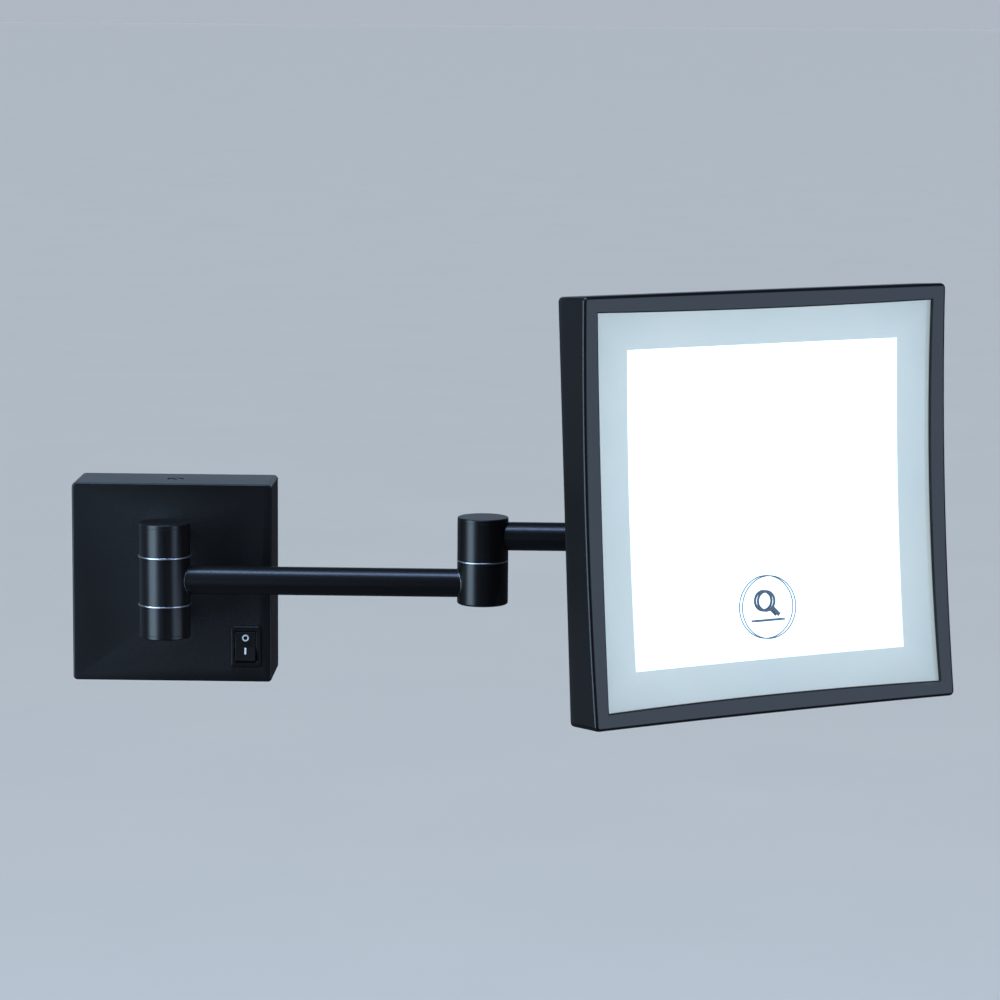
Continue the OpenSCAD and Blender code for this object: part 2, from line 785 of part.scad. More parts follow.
module rear_cover() {
    half = head_half - cover_inset;
    color(BLACK) in_head() difference() {
        plate(2 * half, 2 * half, 1, back_y, cover_t);
        four_corners(flange_hole_x, flange_hole_z) rod_y(screw_hole_r, head_d);
        translate([lead_channel_x, 0, 0]) rod_y(lead_r + 1, head_d);
        four_corners(lug_hole, lug_hole) {
            rod_y(screw_hole_r, head_d);
            translate([0, back_y, 0]) rotate([90, 0, 0])
                cylinder(r1 = sink_r - 0.1, r2 = screw_hole_r, h = 1.4);
        }
    }
}

module rear_cover_screws() {
    color(STEEL) in_head() four_corners(lug_hole, lug_hole)
        translate([0, back_y - 0.05, 0]) countersunk_screw(4.4);
}

// Side walls and curved front in one pressing, with a tapped lug inside each corner
module bezel_shell() {
    inner = head_half - shell_t;
    color(BLACK) in_head() {
        difference() {
            plate(head_w, head_w, 2.5, back_y, head_d + 1);
            inside_mirror(mirror_r);
            difference() {
                plate(2 * inner, 2 * inner, 1, back_y + EPS, head_d + 1);
                inside_mirror(mirror_r + bezel_t);
            }
            opening_prism(opening_half);
        }
        four_corners(lug_hole, lug_hole)
            difference() {
                translate([-lug_w / 2, back_y - cover_t - lug_t, -lug_w / 2])
                    cube([lug_w, lug_t, lug_w]);
                translate([0, back_y, 0]) rod_y(tapped_r, cover_t + lug_t + 1);
            }
    }
}

// ---------- inside of the head ----------

module on_each_side() for (turn = [0 : 90 : 270]) rotate([0, turn, 0]) children();

module led_strips() {
    color(WHITE) in_head() on_each_side()
        translate([-strip_l / 2, back_y - cover_t - strip_t, strip_mid - strip_w / 2])
            cube([strip_l, strip_t, strip_w]);
}

module led_chips() {
    y = back_y - cover_t - strip_t;
    color([1, 0.9, 0.5]) in_head() on_each_side()
        for (i = [0 : chips_per_strip - 1])
            translate([(i - (chips_per_strip - 1) / 2) * chip_pitch - 1.75, y - 0.8, strip_mid - 1.4])
                cube([3.5, 0.8, 2.8]);
}

module diffuser_frame() {
    leg_top = back_y - cover_t - lug_t;
    color(WHITE) in_head() {
        frame(head_half - 3.5, carrier_half + 2, diffuser_y, diffuser_t);
        four_corners(head_half - 9, head_half - 9)
            translate([0, leg_top, 0]) rod_y(2.5, leg_top - diffuser_y + 0.5);
    }
}

module mirror_carrier() {
    color(WHITE) in_head() {
        curved_layer(silver_back_r, silver_back_r + carrier_t)
            head_block(carrier_half, 2);
        difference() {
            union() {
                four_corners(flange_hole_x, flange_hole_z)
                    translate([0, back_y - cover_t, 0]) rod_y(boss_r, boss_l);
                four_corners(boss_spacing, boss_spacing)
                    translate([0, back_y - cover_t, 0]) rod_y(boss_r, boss_l);
            }
            inside_mirror(silver_back_r + carrier_t);
            four_corners(flange_hole_x, flange_hole_z) rod_y(tapped_r, -back_y + 9);
        }
    }
}

module mirror_silvering() {
    color(CHROME) in_head() curved_layer(glass_back_r, silver_back_r) {
        head_block(patch_half, 0.5);
        frame(glass_half, band_half, back_y - 2, head_d);
    }
}

// The etched zone of the glass that lets the light out, between patch and border
module frosted_band() {
    color([0.75, 0.83, 0.87]) in_head() curved_layer(glass_back_r, silver_back_r)
        frame(band_half, patch_half, back_y - 2, head_d);
}

module mirror_glass() {
    color([0.8, 0.88, 0.92, 0.5]) in_head()
        curved_layer(glass_front_r, glass_back_r) head_block(glass_half, 1);
}

// A flat seal on the glass, with a thin lip that edges the bezel's opening
module glass_gasket() {
    color(BLACK) in_head() difference() {
        union() {
            curved_layer(mirror_r + bezel_t, glass_front_r) head_block(glass_half, 1);
            curved_layer(mirror_r + gasket_lip_drop, glass_front_r)
                opening_prism(opening_half);
        }
        opening_prism(opening_half - gasket_lip_w);
    }
}

// A ring round a magnifying glass and a plain bar, printed on the glass
module mark_outline() {
    module band(r, w) difference() { circle(r); circle(r - w); }
    lens_r = 5.2;
    handle = [5.2, 2];
    band(15.1, 0.55);
    translate([-1.5, 3]) {
        band(lens_r, 1.3);
        rotate(-45) translate([lens_r - 0.4, -handle.y / 2]) square(handle);
    }
    translate([0, -6.2]) square([17, 0.9], center = true);
}

module magnifier_mark() {
    color(STEEL) in_head() curved_layer(glass_front_r - mark_t, glass_front_r)
        translate([0, back_y - 2, mark_z]) rotate([90, 0, 0])
            linear_extrude(head_d) mark_outline();
}

module head_lead() {
    run_y = back_y - cover_t - 3;
    color(WHITE) in_head()
        lead([[tilt_hub_half + 0.4, 0, 0], [lead_channel_x - 0.6, 0, 0], [lead_channel_x, -1.4, 0],
              [lead_channel_x, back_y - cover_t - 1.5, 0], [lead_channel_x + 6, run_y, 3],
              [60, run_y, 20], [strip_mid - strip_w / 2 - 1.5, run_y + 1.5, 26]]);
}

// ---------- assembly ----------

wall_bracket();
wall_cover();
cover_set_screws();
upper_wall_post();
lower_wall_post();
post_nuts();
wall_pivots();
wall_hinge_rings();
wall_barrel_caps();
cable_grommet();
terminal_block();
led_driver();
switch_housing();
switch_terminals();
wall_box_leads();
switch_rocker();
rocker_marks();
lower_arm_hub();
lower_arm_bushes();
lower_arm_tube();
elbow_lower_knuckle();
elbow_pin();
elbow_nut();
elbow_ring();
lower_arm_lead();
elbow_upper_knuckle();
elbow_bush();
elbow_spring_washers();
elbow_cap();
upper_arm_tube();
swivel_lower_knuckle();
swivel_pin();
swivel_nut();
swivel_ring();
upper_arm_lead();
swivel_upper_knuckle();
swivel_bush();
swivel_spring_washers();
swivel_cap();
neck_tube();
tilt_hub();
neck_lead();
tilt_bracket();
tilt_pivots();
tilt_rings();
tilt_caps();
bracket_screws();
rear_cover();
rear_cover_screws();
bezel_shell();
led_strips();
led_chips();
diffuser_frame();
mirror_carrier();
mirror_silvering();
frosted_band();
mirror_glass();
glass_gasket();
magnifier_mark();
head_lead();
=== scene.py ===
"""Extendable shaving mirror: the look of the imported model, built round its bodies.

Shapes are drawn in millimetres in a part's own frame, and add() puts them into the model's
frame in metres.
"""

import json
import math

import bmesh
import bpy
from mathutils import Matrix, Vector

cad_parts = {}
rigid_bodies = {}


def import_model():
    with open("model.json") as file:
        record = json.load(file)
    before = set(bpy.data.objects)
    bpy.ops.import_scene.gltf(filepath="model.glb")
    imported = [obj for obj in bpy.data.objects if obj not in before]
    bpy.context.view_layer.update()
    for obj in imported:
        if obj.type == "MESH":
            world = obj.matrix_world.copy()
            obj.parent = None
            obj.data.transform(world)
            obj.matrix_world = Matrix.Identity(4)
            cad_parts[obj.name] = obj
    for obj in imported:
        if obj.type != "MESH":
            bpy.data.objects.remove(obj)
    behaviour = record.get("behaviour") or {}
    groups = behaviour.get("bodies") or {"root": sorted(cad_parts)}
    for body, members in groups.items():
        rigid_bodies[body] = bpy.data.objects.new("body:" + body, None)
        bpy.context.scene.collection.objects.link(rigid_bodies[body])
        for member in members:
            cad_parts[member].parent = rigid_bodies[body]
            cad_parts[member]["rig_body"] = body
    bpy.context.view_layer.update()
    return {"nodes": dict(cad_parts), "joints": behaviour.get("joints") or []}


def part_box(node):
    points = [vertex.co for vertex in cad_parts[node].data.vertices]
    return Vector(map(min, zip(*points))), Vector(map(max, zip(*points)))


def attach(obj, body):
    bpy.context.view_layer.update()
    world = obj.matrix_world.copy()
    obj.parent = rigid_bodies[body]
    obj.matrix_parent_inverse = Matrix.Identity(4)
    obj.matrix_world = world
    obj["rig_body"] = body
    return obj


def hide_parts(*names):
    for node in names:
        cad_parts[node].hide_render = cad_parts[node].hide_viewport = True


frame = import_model()
NODES = frame["nodes"]
JOINTS = {j["name"]: j for j in frame["joints"]}
MM = 0.001

# Sizes in millimetres that several sections share
BARREL_R, CAVITY_R, PIN_WAY_R = 12.5, 9, 5.5
POST_Z, POST_R, SPIGOT_R, PIVOT_R = 20, 6, 5, 4
TILT_R = 9
MIRROR_R, HEAD_DEPTH = 1300.0, 24.6
SHELL_T, BEZEL_T, GASKET_T, GLASS_T, SILVER_T = 1.5, 1.0, 0.4, 2.1, 0.2
OPENING_HALF, BAND_HALF, GLASS_HALF, PATCH_HALF = 92.5, 93.3, 97.8, 74.6

# ---------- camera ----------

view = (
    Matrix.Rotation(math.radians(1.47), 4, "Z")
    @ Matrix.Rotation(math.radians(-8.21), 4, "X")
    @ Matrix.Rotation(math.radians(-0.43), 4, "Y")
    @ Matrix.Rotation(math.radians(90), 4, "X")
)
camera = bpy.data.objects.new("camera", bpy.data.cameras.new("camera"))
camera.data.lens = 127.3
camera.data.sensor_width = 36
camera.data.clip_start = 0.05
camera.matrix_world = Matrix.Translation((0.20868, -1.77828, 0.29500)) @ view
bpy.context.scene.collection.objects.link(camera)
bpy.context.scene.camera = camera

# ---------- places ----------


def place(origin, x=(1, 0, 0), z=(0, 0, 1)):
    """The frame at origin with its X and Z along the given directions."""
    x, z = Vector(x).normalized(), Vector(z).normalized()
    turn = Matrix((x, z.cross(x), z)).transposed().to_4x4()
    return Matrix.Translation(origin) @ turn


def joint_at(name):
    return Vector(JOINTS[name]["pos_m"])


def centre(node):
    lo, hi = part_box(node)
    return (Vector(lo) + Vector(hi)) / 2


WALL = place(joint_at("wall_swing"))
ELBOW = place(joint_at("elbow"))
SWIVEL = place(joint_at("head_swivel"))
PIVOT = joint_at("head_tilt")
neck_way = PIVOT - joint_at("head_swivel")
NECK = place(joint_at("head_swivel"), x=(neck_way.x, neck_way.y, 0))
TILT = place(PIVOT, x=JOINTS["head_tilt"]["axis"])
back_way = max(NODES["rear_cover"].data.polygons, key=lambda f: f.area).normal.copy()
if back_way.dot(PIVOT - centre("mirror_glass")) < 0:
    back_way.negate()
HEAD = place(PIVOT, x=TILT.col[0].xyz, z=TILT.col[0].xyz.cross(back_way))
BOX = Matrix.Identity(4)
SWITCH = place(joint_at("rocker_press") + Vector((0, 0.3 * MM, 0)))
travel = JOINTS["rocker_press"]["range_deg"][1]
ROCKER = place(joint_at("rocker_press")) @ Matrix.Rotation(
    math.radians(-travel / 2), 4, "X"
)
ALONG_X = Matrix.Rotation(math.radians(90), 4, "Y")
TO_WALL = Matrix.Rotation(math.radians(-90), 4, "X")


def span(node, at):
    """A node's lowest and highest corner in the frame at, in millimetres."""
    back = at.inverted()
    points = [back @ v.co / MM for v in NODES[node].data.vertices]
    return (
        Vector(min(p[i] for p in points) for i in range(3)),
        Vector(max(p[i] for p in points) for i in range(3)),
    )


# ---------- materials ----------


class Finish:
    """A Principled material and short ways to add nodes to it."""

    def __init__(self, name, **values):
        self.material = bpy.data.materials.new(name)
        self.material.use_nodes = True
        self.tree = self.material.node_tree
        self.shader = self.tree.nodes["Principled BSDF"]
        for key, value in values.items():
            socket = self.shader.inputs[key.replace("_", " ")]
            socket.default_value = (*value, 1) if isinstance(value, tuple) else value
        self.place = self.node("ShaderNodeTexCoord").outputs["Object"]

    def node(self, kind, inputs=(), **settings):
        made = self.tree.nodes.new(kind)
        for key, value in settings.items():
            setattr(made, key, value)
        for key, value in dict(inputs).items():
            if isinstance(value, bpy.types.NodeSocket):
                self.tree.links.new(value, made.inputs[key])
            else:
                made.inputs[key].default_value = value
        return made

    def noise(self, scale, detail=2.0, stretch=(1, 1, 1)):
        """Noise with scale cells to the metre, spread along the axes by stretch."""
        where = self.place
        if stretch != (1, 1, 1):
            where = self.node(
                "ShaderNodeMapping", {"Vector": where, "Scale": stretch}
            ).outputs[0]
        return self.node(
            "ShaderNodeTexNoise", {"Vector": where, "Scale": scale, "Detail": detail}
        ).outputs["Fac"]

    def spread(self, value, low, high, start=0.3, end=0.7):
        """Value from start to end, mapped to low to high."""
        return self.node(
            "ShaderNodeMapRange",
            {
                "Value": value,
                "From Min": start,
                "From Max": end,
                "To Min": low,
                "To Max": high,
            },
        ).outputs["Result"]

    def mix(self, share, a, b):
        made = self.node("ShaderNodeMix", {"Factor": share}, data_type="RGBA")
        for socket, value in (("A", a), ("B", b)):
            slot = next(
                i for i in made.inputs if i.name == socket and i.type == "RGBA"
            )
            if isinstance(value, bpy.types.NodeSocket):
                self.tree.links.new(value, slot)
            else:
                slot.default_value = (*value, 1)
        return next(o for o in made.outputs if o.type == "RGBA")

    def sum(self, a, b, kind="ADD"):
        made = self.node("ShaderNodeMath", {0: a, 1: b}, operation=kind)
        return made.outputs[0]

    def edges(self, start=0.515, end=0.56):
        """1 on sharp outer edges, 0 on flats and hollows."""
        point = self.node("ShaderNodeNewGeometry").outputs["Pointiness"]
        return self.spread(point, 0, 1, start, end)

    def set(self, socket, value):
        self.tree.links.new(value, self.shader.inputs[socket])

    def bumps(self, *layers):
        """Bump from (height, depth in metres) layers."""
        normal = None
        for height, depth in layers:
            bump = self.node(
                "ShaderNodeBump", {"Height": height, "Distance": depth, "Strength": 1.0}
            )
            if normal:
                self.tree.links.new(normal, bump.inputs["Normal"])
            normal = bump.outputs["Normal"]
        self.set("Normal", normal)


def powder_paint():
    f = Finish("black_paint", Specular_IOR_Level=0.5, Metallic=0.0)
    cloud = f.noise(45, 3)
    # Painted highlight: sharp edges turn a lighter grey, broken up by fine noise.
    painted_edge_highlight = f.sum(f.edges(0.52, 0.6), f.noise(700, 2), "MULTIPLY")
    base = f.mix(cloud, (0.0035, 0.0037, 0.0043), (0.0060, 0.0062, 0.0070))
    f.set("Base Color", f.mix(painted_edge_highlight, base, (0.05, 0.05, 0.052)))
    rough = f.spread(f.noise(28, 3), 0.295, 0.315)
    grain = f.spread(f.noise(1500, 2), -0.008, 0.008)
    f.set("Roughness", f.sum(rough, grain))
    f.bumps((f.noise(850, 1), 4e-6), (f.noise(5200, 2), 1e-6))
    return f.material


def polished_ring():
    f = Finish("bright_ring", Metallic=1.0)
    f.set("Base Color", f.mix(f.noise(90), (0.70, 0.73, 0.77), (0.82, 0.85, 0.88)))
    f.set("Roughness", f.spread(f.noise(300, 3), 0.30, 0.40))
    f.bumps((f.noise(60, 1, (1, 1, 150)), 3e-6))
    return f.material


def turned_steel():
    f = Finish("pin_steel", Metallic=1.0)
    f.set("Base Color", f.mix(f.noise(120), (0.50, 0.51, 0.53), (0.62, 0.62, 0.63)))
    f.set("Roughness", f.spread(f.noise(70, 3, (1, 1, 30)), 0.22, 0.38))
    f.bumps((f.noise(80, 2, (1, 1, 60)), 8e-6))
    return f.material


def zinc_plate():
    f = Finish("zinc_steel", Metallic=1.0)
    grains = f.node(
        "ShaderNodeTexVoronoi", {"Vector": f.place, "Scale": 420.0}
    ).outputs["Color"]
    grey = f.node("ShaderNodeRGBToBW", {"Color": grains}).outputs[0]
    share = f.spread(f.sum(grey, f.noise(60, 4)), 0, 1, 0.5, 1.5)
    f.set("Base Color", f.mix(share, (0.46, 0.48, 0.50), (0.66, 0.67, 0.67)))
    f.set("Roughness", f.spread(f.noise(180, 4), 0.30, 0.50))
    f.bumps((f.noise(900, 3), 10e-6))
    return f.material


def brass():
    f = Finish("terminal_brass", Metallic=1.0)
    f.set("Base Color", f.mix(f.noise(400, 4), (0.62, 0.46, 0.22), (0.78, 0.62, 0.34)))
    f.set("Roughness", f.spread(f.noise(700, 3), 0.25, 0.42))
    f.bumps((f.noise(2200, 3), 6e-6))
    return f.material


def oxide_screw():
    f = Finish("dark_screw", Metallic=1.0)
    base = f.mix(f.noise(500, 3), (0.16, 0.16, 0.17), (0.26, 0.26, 0.27))
    f.set("Base Color", f.mix(f.edges(0.515, 0.57), base, (0.62, 0.63, 0.64)))
    f.set("Roughness", f.spread(f.noise(900, 3), 0.24, 0.42))
    f.bumps((f.noise(2500, 2), 5e-6))
    return f.material


def moulded(name, dark, light, rough, depth=8e-6, grain=2600, specular=0.5, **values):
    """Injection-moulded plastic with a fine spark-eroded texture."""
    f = Finish(name, Specular_IOR_Level=specular, **values)
    f.set("Base Color", f.mix(f.noise(70, 3), dark, light))
    f.set("Roughness", f.spread(f.noise(140, 4), rough - 0.05, rough + 0.05))
    f.bumps((f.noise(grain, 2), depth), (f.noise(260, 2), depth))
    return f.material


def ink(name, dark, light):
    """Pad-printed ink with slightly uneven cover."""
    f = Finish(name, Specular_IOR_Level=0.35)
    f.set("Base Color", f.mix(f.noise(2600, 4), dark, light))
    f.set("Roughness", f.spread(f.noise(1800, 3), 0.42, 0.62))
    f.bumps((f.noise(5000, 2), 5e-6))
    return f.material


def circuit_board():
    f = Finish("board", Specular_IOR_Level=0.5)
    weave = f.sum(
        f.node(
            "ShaderNodeTexWave",
            {"Vector": f.place, "Scale": 300.0, "Distortion": 0.4},
        ).outputs["Fac"],
        f.noise(900, 3),
    )
    share = f.spread(weave, 0, 1, 0.4, 1.6)
    f.set("Base Color", f.mix(share, (0.66, 0.70, 0.66), (0.80, 0.82, 0.80)))
    f.set("Roughness", f.spread(f.noise(600, 3), 0.35, 0.55))
    f.bumps((weave, 6e-6))
    return f.material


def lit(name, colour, glow_a, glow_b, strength, scale):
    """A surface that lets light out, a little uneven like the lamps behind it."""
    f = Finish(name, Specular_IOR_Level=0.4, Emission_Strength=strength)
    cloud = f.noise(scale, 2)
    glow = f.mix(f.spread(cloud, 0, 1), glow_a, glow_b)
    offset = f.node(
        "ShaderNodeVectorMath", {0: f.place, 1: HEAD.translation}, operation="SUBTRACT"
    ).outputs["Vector"]
    reach = []
    for i in (0, 2):
        along = {0: offset, 1: HEAD.col[i].xyz}
        part = f.node("ShaderNodeVectorMath", along, operation="DOT_PRODUCT")
        reach.append(f.sum(part.outputs["Value"], 0.0, "ABSOLUTE"))
    near, far = PATCH_HALF * MM, OPENING_HALF * MM
    outwards = f.spread(f.sum(*reach, "MAXIMUM"), 0, 0.30, near, far)
    corner = f.spread(f.sum(*reach), 0, 0.28, 0.140, 0.186)
    dim = tuple(0.45 * c for c in glow_a)
    f.set("Emission Color", f.mix(f.sum(outwards, corner), glow, dim))
    f.set("Base Color", f.mix(cloud, colour, tuple(1.15 * c for c in colour)))
    f.set("Roughness", f.spread(f.noise(1500, 3), 0.5, 0.7))
    f.bumps((f.noise(6000, 2), 5e-6))
    return f.material


def silver_layer():
    f = Finish("silvering", Metallic=1.0)
    f.set("Base Color", f.mix(f.noise(20, 3), (0.93, 0.945, 0.95), (0.96, 0.965, 0.965)))
    f.set("Roughness", f.spread(f.noise(55, 5), 0.012, 0.03))
    return f.material


def pane():
    f = Finish("clear_glass", IOR=1.5, Base_Color=(0.93, 0.98, 0.97))
    f.shader.inputs["Transmission Weight"].default_value = 1.0
    f.set("Roughness", f.spread(f.noise(35, 5), 0.0, 0.02, 0.45, 0.75))
    return f.material


MATERIALS = {
    "black_paint": powder_paint(),
    "bright_ring": polished_ring(),
    "pin_steel": turned_steel(),
    "zinc_steel": zinc_plate(),
    "dark_screw": oxide_screw(),
    "switch_plastic": moulded(
        "switch_plastic", (0.0045,) * 3, (0.0075,) * 3, 0.42, specular=0.28
    ),
    "white_ink": ink("white_ink", (0.62, 0.64, 0.66), (0.80, 0.82, 0.84)),
    "rubber": moulded(
        "rubber", (0.014,) * 3, (0.024, 0.023, 0.022), 0.68, 14e-6, 1400
    ),
    "white_plastic": moulded(
        "white_plastic", (0.72, 0.72, 0.69), (0.80, 0.80, 0.78), 0.42
    ),
    "bush_plastic": moulded(
        "bush_plastic", (0.70, 0.67, 0.60), (0.78, 0.76, 0.70), 0.34, 5e-6
    ),
    "terminal_brass": brass(),
    "lead_sleeve": moulded(
        "lead_sleeve", (0.62, 0.62, 0.60), (0.74, 0.74, 0.72), 0.40, 6e-6, 1800
    ),
    "board": circuit_board(),
    "led": lit("led", (0.80, 0.66, 0.20), (1, 0.93, 0.8), (1, 0.97, 0.9), 6.0, 600),
    "opal_plastic": moulded(
        "opal_plastic", (0.80, 0.81, 0.82), (0.88, 0.89, 0.90), 0.5, 5e-6,
        Subsurface_Weight=0.15,
    ),
    "silvering": silver_layer(),
    "frosted_light": lit(
        "frosted_light", (0.10, 0.11, 0.12), (0.80, 0.95, 1.0), (0.88, 0.98, 1.0), 0.53, 22
    ),
    "clear_glass": pane(),
    "grey_ink": ink("grey_ink", (0.15, 0.18, 0.24), (0.23, 0.26, 0.33)),
}


SLOT_OF = {}
for slot_name, members in {
    "bright_ring": "wall_hinge_rings elbow_ring swivel_ring tilt_rings",
    "pin_steel": "wall_pivots elbow_pin swivel_pin tilt_pivots",
    "zinc_steel": "wall_bracket post_nuts elbow_nut swivel_nut elbow_spring_washers"
    " swivel_spring_washers",
    "dark_screw": "cover_set_screws bracket_screws rear_cover_screws",
    "switch_plastic": "switch_housing switch_rocker",
    "white_ink": "rocker_marks",
    "rubber": "cable_grommet glass_gasket",
    "white_plastic": "terminal_block led_driver mirror_carrier",
    "bush_plastic": "lower_arm_bushes elbow_bush swivel_bush",
    "terminal_brass": "switch_terminals",
    "lead_sleeve": "wall_box_leads lower_arm_lead upper_arm_lead neck_lead head_lead",
    "board": "led_strips",
    "led": "led_chips",
    "opal_plastic": "diffuser_frame",
    "silvering": "mirror_silvering",
    "frosted_light": "frosted_band",
    "clear_glass": "mirror_glass",
    "grey_ink": "magnifier_mark",
}.items():
    for member in members.split():
        SLOT_OF[member] = slot_name
for member in NODES:
    SLOT_OF.setdefault(member, "black_paint")

# ---------- shapes ----------


def rounded(points, steps=5):
    """A closed outline of (x, y, radius) corners, with an arc in place of each corner."""
    out = []
    for i, (x, y, radius) in enumerate(points):
        p = Vector((x, y))
        if radius <= 0:
            out.append(p)
            continue
        u = (Vector(points[i - 1][:2]) - p).normalized()
        v = (Vector(points[(i + 1) % len(points)][:2]) - p).normalized()
        half = u.angle(v) / 2
        hub = p + (u + v).normalized() * radius / math.sin(half)
        start = p + u * (radius / math.tan(half)) - hub
        end = p + v * (radius / math.tan(half)) - hub
        turn = start.angle_signed(end)
        for k in range(steps + 1):
            out.append(hub + Matrix.Rotation(-turn * k / steps, 2) @ start)
    return out


def lathe(profile, segments=96):
    """A closed (radius, height) profile turned about Z."""
    verts, faces, rows = [], [], []
    for r, z in profile:
        if r < 1e-6:
            rows.append([len(verts)] * segments)
            verts.append((0, 0, z))
        else:
            rows.append(range(len(verts), len(verts) + segments))
            for k in range(segments):
                a = 2 * math.pi * k / segments
                verts.append((r * math.cos(a), r * math.sin(a), z))
    for i, row in enumerate(rows):
        after = rows[(i + 1) % len(rows)]
        for k in range(segments):
            n = (k + 1) % segments
            corners = []
            for c in (row[k], row[n], after[n], after[k]):
                if c not in corners:
                    corners.append(c)
            if len(corners) > 2:
                faces.append(corners)
    return verts, faces


def stack(loops, ends=True):
    """A skin over loops of equal length.
    ends closes both ends, else the last loop joins the first."""
    verts = [p for loop in loops for p in loop]
    n = len(loops[0])
    faces = []
    last = len(loops) - 1
    for i in range(last if ends else last + 1):
        a, b = i * n, ((i + 1) % len(loops)) * n
        for k in range(n):
            m = (k + 1) % n
            faces.append((a + k, a + m, b + m, b + k))
    if ends:
        faces += [tuple(range(n)), tuple(range(last * n, last * n + n))]
    return verts, faces


def square_loop(half_w, half_h, corner, sides=1, turns=6, bow=0.0):
    """(x, z) points of a square with round corners, and sides that bow inwards."""
    out = []
    signs = ((1, 1), (-1, 1), (-1, -1), (1, -1))
    for i, (sx, sz) in enumerate(signs):
        for k in range(turns + 1):
            a = math.radians(90 * (i + k / turns))
            out.append(
                Vector(
                    (
                        sx * (half_w - corner) + corner * math.cos(a),
                        sz * (half_h - corner) + corner * math.sin(a),
                    )
                )
            )
        tx, tz = signs[(i + 1) % 4]
        a = math.radians(90 * (i + 1))
        away = Vector((math.cos(a), math.sin(a)))
        start = out[-1]
        end = Vector((tx * (half_w - corner), tz * (half_h - corner))) + corner * away
        for k in range(1, sides):
            t = k / sides
            dip = bow * (1 - (2 * t - 1) ** 2)
            out.append(start.lerp(end, t) - dip * away)
    return out


def at_depth(loop, y):
    return [(p.x, y, p.y) for p in loop]


def turned(shape, matrix):
    return [matrix @ Vector(v) for v in shape[0]], shape[1]


def pipe(r_out, r_in, z0, z1, edge=0.25, segments=96):
    return lathe(
        rounded([(r_in, z0, 0), (r_out, z0, edge), (r_out, z1, edge), (r_in, z1, 0)]),
        segments,
    )


def to_mesh(name, shape, at=None):
    verts, faces = shape
    mesh = bpy.data.meshes.new(name)
    if at is not None:
        verts = [at @ (Vector(v) * MM) for v in verts]
    mesh.from_pydata([tuple(v) for v in verts], [], [tuple(f) for f in faces])
    work = bmesh.new()
    work.from_mesh(mesh)
    bmesh.ops.remove_doubles(work, verts=work.verts, dist=1e-7 if at is not None else 1e-4)
    bmesh.ops.recalc_face_normals(work, faces=work.faces)
    work.to_mesh(mesh)
    work.free()
    return mesh


def combined(base, others, operation="DIFFERENCE"):
    """Base cut by, or joined with, other shapes of the same frame."""
    made = []
    for i, shape in enumerate([base, *others]):
        o = bpy.data.objects.new(f"work_{i}", to_mesh(f"work_{i}", shape))
        bpy.context.scene.collection.objects.link(o)
        made.append(o)
    for o in made[1:]:
        cut = made[0].modifiers.new("cut", "BOOLEAN")
        cut.operation, cut.solver, cut.object = operation, "EXACT", o
    bpy.context.view_layer.update()
    result = made[0].evaluated_get(bpy.context.evaluated_depsgraph_get())
    mesh = result.to_mesh()
    out = [v.co.copy() for v in mesh.vertices], [tuple(f.vertices) for f in mesh.polygons]
    result.to_mesh_clear()
    for o in made:
        data = o.data
        bpy.data.objects.remove(o)
        bpy.data.meshes.remove(data)
    return out


def add(name, shape, at, body=None, slot=None, stands_for=(), sharp=38, broad=None):
    """A finished piece. Its body and slot are those of the first node that it stands for.
    Faces of more than broad square millimetres are shaded as flats."""
    mesh = to_mesh(name, shape, at)
    mesh.shade_smooth()
    mesh.set_sharp_from_angle(angle=math.radians(sharp))
    for face in mesh.polygons:
        face.use_smooth = broad is None or face.area < broad * MM * MM
    piece = bpy.data.objects.new(name, mesh)
    bpy.context.scene.collection.objects.link(piece)
    if stands_for:
        body = NODES[stands_for[0]]["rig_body"]
        slot = SLOT_OF[stands_for[0]]
        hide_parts(*stands_for)
    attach(piece, body)
    mesh.materials.append(MATERIALS[slot])
    shade = piece.modifiers.new("shade", "WEIGHTED_NORMAL")
    shade.keep_sharp = True
    return piece


# ---------- wall box ----------

lo, hi = span("wall_cover", BOX)
half, depth = hi.x, -lo.y
wall_t, edge = 2.5, 0.9


def cover_loop(inset, y, corner):
    return at_depth(square_loop(half - inset, half - inset, corner), y)


loops = [cover_loop(wall_t, -0.3, 0.9), cover_loop(wall_t - 0.3, 0, 1.0)]
loops += [cover_loop(0.25, 0, 1.85), cover_loop(0, -0.25, 2)]
for k in range(7):
    a = math.radians(15 * k)
    loops.append(
        cover_loop(
            edge * (1 - math.cos(a)),
            -depth + edge * (1 - math.sin(a)),
            2 - edge * (1 - math.cos(a)),
        )
    )
loops.insert(0, cover_loop(wall_t, -depth + wall_t, 0.9))
loops.append(cover_loop(edge + 1.5, -depth, 0.4))
cover = stack(loops)
screw_y = centre("cover_set_screws").y / MM
cuts = []
# Counterbored holes for the set screws, through the bottom and the top
set_r, sink_r, chamfer = 2.2, 4.1, 0.15
bore = lathe(
    [(0, half - 4), (set_r, half - 4), (set_r, half - 1.5), (sink_r, half - 1.5)]
    + [(sink_r, half - chamfer), (sink_r + chamfer, half + 0.01)]
    + [(sink_r + chamfer, half + 1), (0, half + 1)],
    48,
)
for flip in (math.pi, 0):
    move = Matrix.Translation((0, screw_y, 0)) @ Matrix.Rotation(flip, 4, "X")
    cuts.append(turned(bore, move))
switch_in_box = SWITCH.translation / MM
cuts.append(
    turned(
        stack(
            [
                at_depth(square_loop(6.6, 9.7, 0.4), 5),
                at_depth(square_loop(6.6, 9.7, 0.4), -2),
            ]
        ),
        Matrix.Translation(switch_in_box),
    )
)
hinge_z = WALL.translation.z / MM
reach = depth + 5
way = lathe([(0, 0), (SPIGOT_R, 0), (SPIGOT_R, reach), (0, reach)], 48)
for z in (hinge_z - POST_Z, hinge_z + POST_Z):
    cuts.append(turned(way, Matrix.Translation((0, 2 - reach, z)) @ TO_WALL))
add("wall_box_cover", combined(cover, cuts), BOX, stands_for=["wall_cover"], broad=400)

